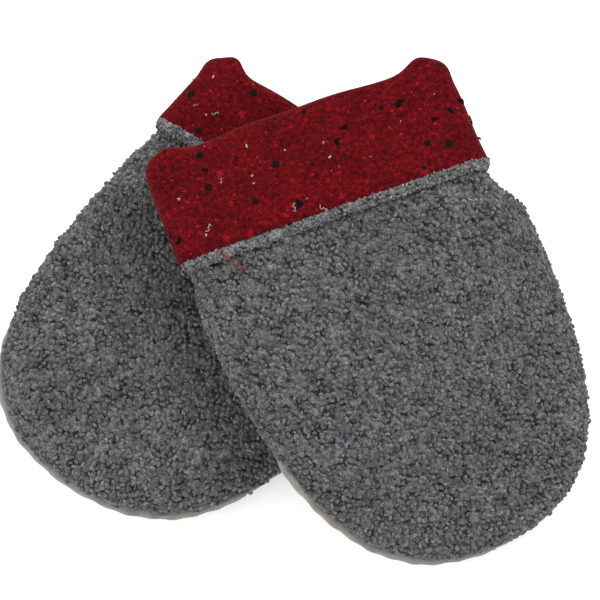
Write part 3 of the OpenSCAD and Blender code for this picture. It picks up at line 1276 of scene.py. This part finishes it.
        even = (len(base) - 1) // 2 * 2 + 1
        pile, wrong = surface(0.22)[:, :even], surface(1.9)[::2, :even:2]
        cloth = closed_sheet(
            f"{self.who}_{half.word}_inner_fold_cloth", self.lie.place(pile), self.lie.place(wrong),
            self.lie.flips(half), None,
        )
        self.raised(cloth, WOOL, INNER_FOLD_PILE)
        self.turned(cloth, half, 0.2)
        self.settle(cloth, WOOL, "", "boucle_shell")

    def cuff(self, half: Half) -> None:
        """Makes half a cuff: tweed face, looped backing, rolled edge, stitches and neps."""
        p, cut = self.plies, self.pattern
        name, body = f"{self.who}_{half.word}_cuff", f"{half.word}_cuff"
        t0, t1 = (float(cut.row_at(y)) for y in (p.start, CUFF.face_short - cut.cuff))
        outer, inner = self.grids(t0, t1, 20, 60, 2, -p.cuff, p.lining - p.cuff, half)
        if half is Half.BACK:
            calm = ease(np.linspace(0, 6, outer.shape[0]))[:, None, None]
            outer = outer + calm * (self.waves(outer, 21, 0.35) - outer)
        turned_in = ease((np.linspace(0, 1, outer.shape[0]) - 0.93) / 0.07)[:, None]
        outer[..., 2] -= half.value * CUFF.face_turn * turned_in
        face = closed_sheet(
            f"{name}_face_cloth", self.lie.place(outer), self.lie.place(inner), self.lie.flips(half),
            self.weave(outer, 22.0, 1),
        )
        t1 = float(cut.row_at(CUFF.backing_short - cut.cuff))
        inside, wrong = self.grids(t0, t1, 30, 60, 3, -p.cuff_gap, -p.cuff_gap - p.backing, half)
        backing = closed_sheet(
            f"{name}_backing_cloth", self.lie.place(inside), self.lie.place(wrong),
            not self.lie.flips(half), None,
        )
        self.raised(backing, WOOL, BACKING_PILE)
        roll = self.rolled_edge(half)
        # The roll's curls take the same lighter wool, with painted light.
        curls = self.curled(roll, f"{name}_roll_curls", ROLL_WOOL_PAINTED_LIGHT, ROLL_PILE)
        self.settle(face, TWEED, body, "tweed_lining", f"{body}_face")
        self.settle(backing, WOOL, body, "boucle_shell", f"{body}_backing")
        self.settle(roll, WOOL, body, "boucle_shell", f"{body}_roll")
        self.settle(curls, WOOL, body, "boucle_shell")
        beads = [
            self.scattered(face, f"{name}_{word}", shape, 5.0, sizes, finish, density=density)
            for word, shape, sizes, density, finish in (
                ("black_neps", self.tools.nep, (0.45, 1.35), 0.36, BLACK_NEP),
                ("white_neps", self.tools.nep, (0.2, 0.42), 0.12, WHITE_NEP),
                ("white_slubs", self.tools.squiggle, (0.5, 1.1), 0.34, WHITE_NEP),
            )
        ]
        for piece in beads:
            self.settle(piece, None, body, "tweed_lining")
        flat = (CUT.cuff_width, cut.cuff * MM - CUT.cuff_loss)
        self.cuff_stitches(half)

    def rolled_edge(self, half: Half) -> bpy.types.Object:
        """Makes the rolled shell edge under the cuff's face, with its loops raised, in the lighter copy of
        the wool that paints light on it.
        """
        p, cut = self.plies, self.pattern
        radius, sides = CUFF.roll_radius, CUFF.roll_sides
        t = cut.row_at(CUFF.roll_short - cut.cuff)
        path = cut.skin(t, self.columns(260) * 0.992, radius - p.cuff + CUFF.roll_sink, half, 0)[0]
        centre = self.lie.place(path)
        points, faces = tube(centre, radius, sides)
        turn = np.arange(len(points)) % sides * (2 * np.pi / sides)
        travel = np.repeat(np.arange(len(path)) * CUFF.roll_twist, sides)
        middle = np.repeat(centre, sides, 0)
        lobes = 1 + CUFF.roll_depth * np.sin(CUFF.roll_lobes * turn + travel)
        points = middle + (points - middle) * lobes[:, None]
        piece = add_piece(f"{self.who}_{half.word}_cuff_roll", mesh_from("roll", points, faces))
        ones = np.ones(len(points), np.float32)
        piece.data.attributes.new("outer", "FLOAT", "POINT").data.foreach_set("value", ones)
        return self.raised(piece, ROLL_WOOL_PAINTED_LIGHT, ROLL_PILE)

    def stitched(self, name: str, path: Array, finish: Finish, body: str, slot: str, node: str) -> None:
        """Lays stitches along a path in the mitten's own frame, as one piece."""
        mesh = bpy.data.meshes.new(name)
        links = [(i, i + 1) for i in range(len(path) - 1)]
        mesh.from_pydata((self.lie.place(path) * MM).tolist(), links, [])
        piece = add_piece(name, mesh)
        values = {"Pitch": 2.6 * MM, "Stitch": self.tools.stitch, "Material": finish.build()}
        self.tools.stitches.apply(piece, values)
        self.settle(piece, finish, body, slot, node)

    def rim(self) -> bpy.types.Object:
        """Makes the edge of the palm's shell, with painted light in its pale colour."""
        edge = RIM_EDGE
        t = np.linspace(float(self.pattern.row_at(-self.pattern.cuff + 2)), 1.0, 130)
        sides = [self.pattern.skin(t, np.full_like(t, u), edge.inset, Half.BACK, 0) for u in (-1, 1)]
        path = np.concatenate([sides[0], sides[1][-2::-1]])
        path[:, 2] -= edge.sink
        path = self.lie.place(path)
        ahead = np.gradient(path, axis=0)
        out = np.cross(ahead, self.lie.z)
        out /= np.linalg.norm(out, axis=1)[:, None]
        middle = path.mean(0)
        out *= np.sign(np.sum(out * (path - middle), axis=1))[:, None]
        shows = np.clip(out @ np.array(edge.way), -0.2, 1)
        rows = np.concatenate([t, t[-2::-1]])
        past_start = ease((rows - edge.start) / edge.fade)
        share = edge.least + (1 - edge.least) * ease(shows * 0.9 + 0.25) * past_start
        share = share[:, None, None]
        angle = np.linspace(0, 2 * np.pi, edge.sides + 1)[:-1]
        ring = np.cos(angle)[None, :, None] * out[:, None] * edge.width * share
        ring = ring + np.sin(angle)[None, :, None] * self.lie.z * edge.rise * (0.6 + 0.4 * share)
        walk = np.arange(len(path))[:, None]
        uneven = 0.16 * np.sin(walk * 0.9) + 0.12 * np.sin(walk * 0.37 + self.seed)
        centre = path + out * (share[:, 0] * edge.reach - edge.tuck + uneven)
        points = (centre[:, None] + ring).reshape(-1, 3)
        faces = tube(path, 1.0, edge.sides)[1]
        piece = add_piece(f"{self.who}_palm_shell_rim", mesh_from("rim", points, faces))
        self.settle(piece, RIM_PAINTED_LIGHT, "mitten", "boucle_shell")
        return piece

    def side_seams(self) -> None:
        """Makes the rows of stitches that close the shell and the lining."""
        p = self.plies
        t = np.linspace(float(self.pattern.row_at(p.start)), 0.985, 90)
        for word, inset, finish in (("shell", 1.1, GREY_THREAD), ("lining", p.shell + 0.6, RED_THREAD)):
            sides = [self.pattern.skin(t, np.full_like(t, u), inset, Half.BACK, 0) for u in (-1, 1)]
            path = np.concatenate([sides[0], sides[1][::-1]])
            path[:, 2] -= 0.06
            self.stitched(f"{self.who}_{word}_seam_stitches", path, finish, "mitten", f"{word}_thread",
                          f"{word}_seam")

    def cuff_stitches(self, half: Half) -> None:
        """Makes the row of stitches between a cuff's face and its backing."""
        p = self.plies
        t = self.pattern.row_at(CUFF.stitch_short - self.pattern.cuff)
        depth = p.lining - p.cuff + p.stitch_gap / 2
        path = self.pattern.skin(t, self.columns(90) * 0.98, depth, half, 0)[0]
        self.stitched(f"{self.who}_{half.word}_cuff_stitches", path, RED_THREAD, f"{half.word}_cuff",
                      "lining_thread", f"{half.word}_cuff_stitch")

    def build(self) -> None:
        """Makes every piece of the mitten."""
        for half in Half:
            self.lining(half)
            self.shell(half)
            self.fold(half)
            self.cuff(half)
        self.side_seams()


def thread_end(mitten: Mitten) -> None:
    """Makes the loose end of red thread that hangs out under the upper cuff."""
    p, cut = mitten.plies, mitten.pattern
    along = np.linspace(0, 1, 30)
    x = -36.5 + 6.0 * along + 1.0 * np.sin(7.0 * along)
    y = -(cut.cuff - 1.0) - 5.6 * np.sin(2.0 * along) - 0.9 * np.sin(8.0 * along)
    z = p.mouth + 3.0 + 0.4 * np.sin(9 * along)
    points, faces = tube(mitten.lie.place(np.stack([x, y, z], -1)), 0.24, 8)
    piece = add_piece("upper_cuff_thread_end", mesh_from("thread_end", points, faces))
    mitten.settle(piece, RED_THREAD, "back_cuff", "lining_thread")


# ---- studio ----


@dataclass(frozen=True)
class Studio:
    """The floor, the lights and the camera."""

    elevation: float = 82.0
    distance: float = 1.30
    view_width: float = 0.18905
    target: tuple = (0.0018, 0.0048, 0.016)
    sky: float = 0.90

    def build(self) -> None:
        """Makes them all."""
        side = 4.0
        corners = [(-side, -side, 0), (side, -side, 0), (side, side, 0), (-side, side, 0)]
        floor = add_piece("floor", mesh_from("floor", np.array(corners) / MM, [[0, 1, 2, 3]]))
        floor.data.materials.append(FLOOR.build())
        world = bpy.data.worlds.new("studio")
        world.use_nodes = True
        world.node_tree.nodes["Background"].inputs["Color"].default_value = (1.0, 1.0, 1.0, 1.0)
        world.node_tree.nodes["Background"].inputs["Strength"].default_value = self.sky
        bpy.context.scene.world = world
        self.light("key", (0.55, 0.75, 1.25), 0.7, 11.0)
        self.light("fill", (-0.9, -0.3, 0.9), 0.9, 4.0)
        bpy.context.scene.view_settings.view_transform = "Standard"
        self.camera()

    def light(self, name: str, place: tuple, size: float, power: float) -> None:
        """Adds one soft light that faces the pair."""
        data = bpy.data.lights.new(name, "AREA")
        data.size = size
        data.energy = power
        lamp = bpy.data.objects.new(name, data)
        lamp.location = place
        lamp.rotation_euler = (Vector(self.target) - Vector(place)).to_track_quat("-Z", "Y").to_euler()
        bpy.context.scene.collection.objects.link(lamp)

    def camera(self) -> None:
        """Adds the camera, straight above but for a few degrees."""
        data = bpy.data.cameras.new("camera")
        data.sensor_width = 36
        data.lens = data.sensor_width * self.distance / self.view_width
        camera = bpy.data.objects.new("camera", data)
        tilt = math.radians(self.elevation)
        away = Vector((0, -math.cos(tilt), math.sin(tilt))) * self.distance
        camera.location = Vector(self.target) + away
        camera.rotation_euler = (math.pi / 2 - tilt, 0, 0)
        bpy.context.scene.collection.objects.link(camera)
        bpy.context.scene.camera = camera


def main() -> None:
    """Builds the studio and both mittens."""
    logging.basicConfig(level=logging.INFO, format="%(name)s %(message)s")
    Studio().build()
    tools = Tools()
    flat = Pattern(length=138, cuff=28, droop=0, hug=1, extra_swell=0)
    draped = Pattern(length=146, cuff=36, droop=24, hug=6, extra_swell=8)
    lower = Mitten("lower", flat, True, 3, Ears(3.6, 42.5, 4.5, 0.6), tools)
    upper = Mitten("upper", draped, False, 5, Ears(2.9, 42.3, 5.2, 1.0), tools)
    for mitten in (lower, upper):
        mitten.build()
    thread_end(upper)
    tools.remove()


if __name__ == "__main__":
    main()
